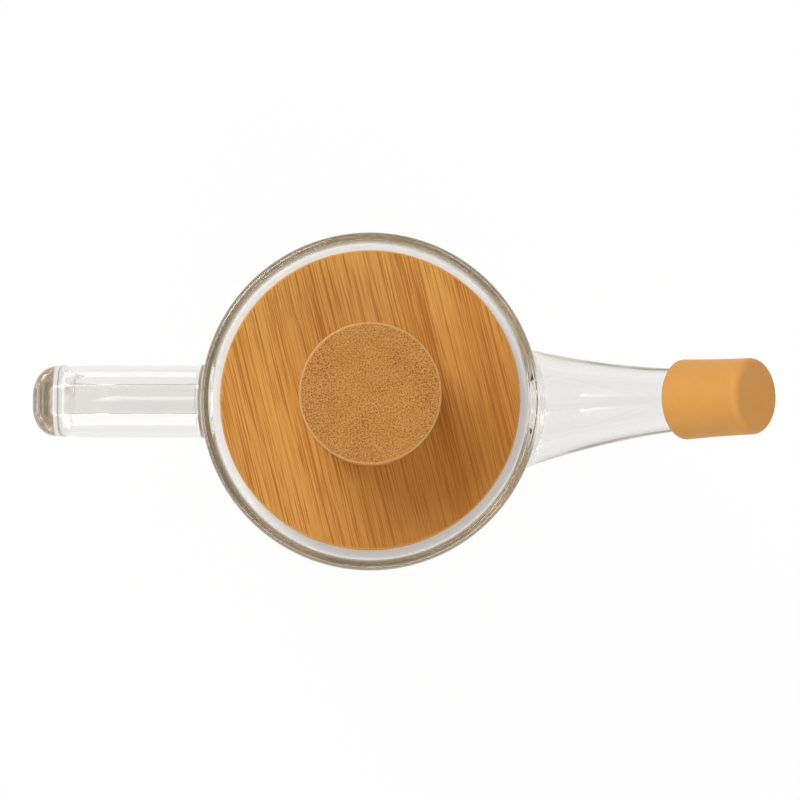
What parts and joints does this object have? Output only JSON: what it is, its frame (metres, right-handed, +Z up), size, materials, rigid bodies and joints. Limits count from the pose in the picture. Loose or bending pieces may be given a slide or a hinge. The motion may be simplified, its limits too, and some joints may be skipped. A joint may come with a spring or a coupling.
{
  "type": "oil dispenser",
  "caption": "Clear glass kitchen oil pot with a ribbon handle, a rising spout under a soft pull-off cap, and a lift-off wooden lid with a soft seal and turned knob.",
  "frame": {"origin": "middle of the pot's flat base, on the surface it stands on", "axes": "+X from the pot's axis towards the spout, +Z up along the pot's axis, handle towards -X"},
  "size_m": [0.1967, 0.09, 0.1435],
  "materials": {
    "pot_glass": "clear flame-polished",
    "lid_wood": "sanded and oiled laminated bamboo",
    "knob_wood": "sanded bamboo, end grain up",
    "cap_silicone": "matte silicone",
    "seal_silicone": "translucent satin silicone",
    "screw_steel": "plain stainless"
  },
  "bodies": {
    "pot": {"pot_body": "pot_glass", "pot_spout": "pot_glass", "pot_handle": "pot_glass"},
    "lid": {"lid": "lid_wood", "lid_seal": "seal_silicone", "lid_knob": "knob_wood", "knob_screw": "screw_steel"},
    "cap": {"spout_cap": "cap_silicone"}
  },
  "joints": [
    {"name": "lid_lift", "type": "slide", "parent": "pot", "child": "lid", "axis": [0, 0, 1], "range_m": [0, 0.06]},
    {"name": "cap_pull", "type": "slide", "parent": "pot", "child": "cap", "axis": [0.7431, 0, 0.6691], "range_m": [0, 0.04]}
  ]
}
